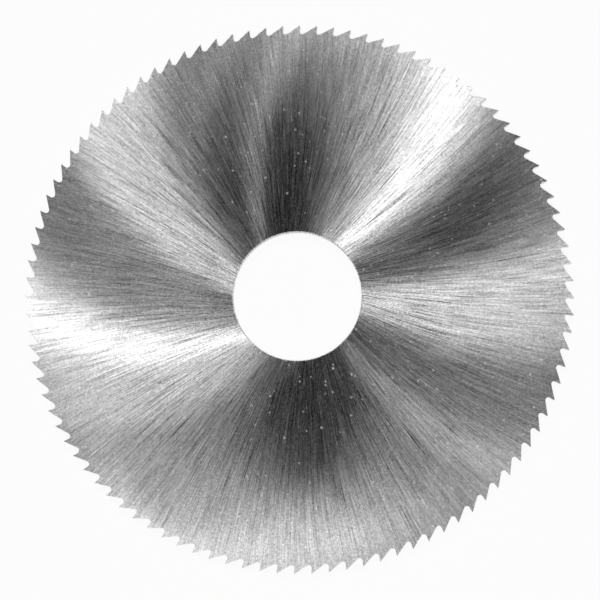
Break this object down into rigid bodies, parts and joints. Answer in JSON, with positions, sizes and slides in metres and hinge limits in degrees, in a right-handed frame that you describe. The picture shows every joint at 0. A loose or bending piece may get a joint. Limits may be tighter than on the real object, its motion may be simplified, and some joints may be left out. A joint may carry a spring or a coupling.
{
  "type": "circular saw blade",
  "caption": "Flat metal-slitting circular saw blade with fine raked teeth round the rim, hollow-ground sides and a plain arbor bore.",
  "frame": {"origin": "centre of the arbor bore, in the plane of the rim's lower side, on which the blade lies", "axes": "+Z along the bore's axis, up through the upper side; one tooth tip points along +X"},
  "size_m": [0.115, 0.115, 0.0025],
  "materials": {
    "ground_steel": "bright, ground in fine radial lines from the bore to the teeth"
  },
  "bodies": {
    "root": {"saw_blade": "ground_steel"}
  },
  "joints": []
}
